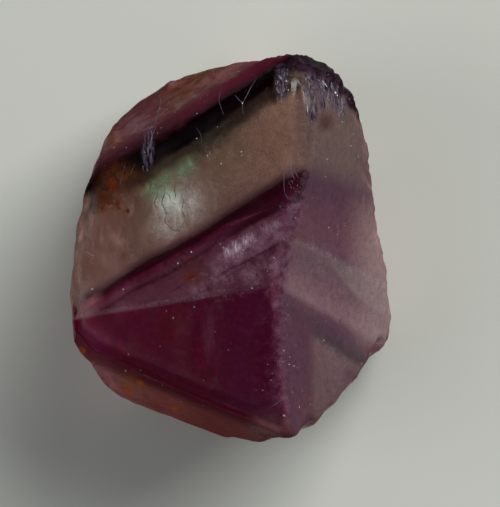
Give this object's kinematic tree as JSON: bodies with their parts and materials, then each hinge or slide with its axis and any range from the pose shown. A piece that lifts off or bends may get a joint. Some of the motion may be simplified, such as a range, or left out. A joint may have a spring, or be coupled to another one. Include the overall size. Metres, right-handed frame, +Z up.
{
  "type": "fluorite octahedron",
  "caption": "Worn, see-through purple and smoky fluorite cleavage octahedron with colour bands and broken corners, resting on one flat face.",
  "frame": {"origin": "middle of the bounding box at the base, on the flat cleavage face that the stone rests on", "axes": "+Z up, square to the top and base cleavage faces; +Y along the stone's longest way; +X towards the large frosted side face"},
  "size_m": [0.0306, 0.0374, 0.0248],
  "materials": {
    "fluorite": "natural fluorite, see-through, smoky clear to deep purple in straight bands, glassy on the top face, frosted and rubbed on the sides and edges"
  },
  "bodies": {
    "root": {"fluorite_octahedron": "fluorite"}
  },
  "joints": []
}
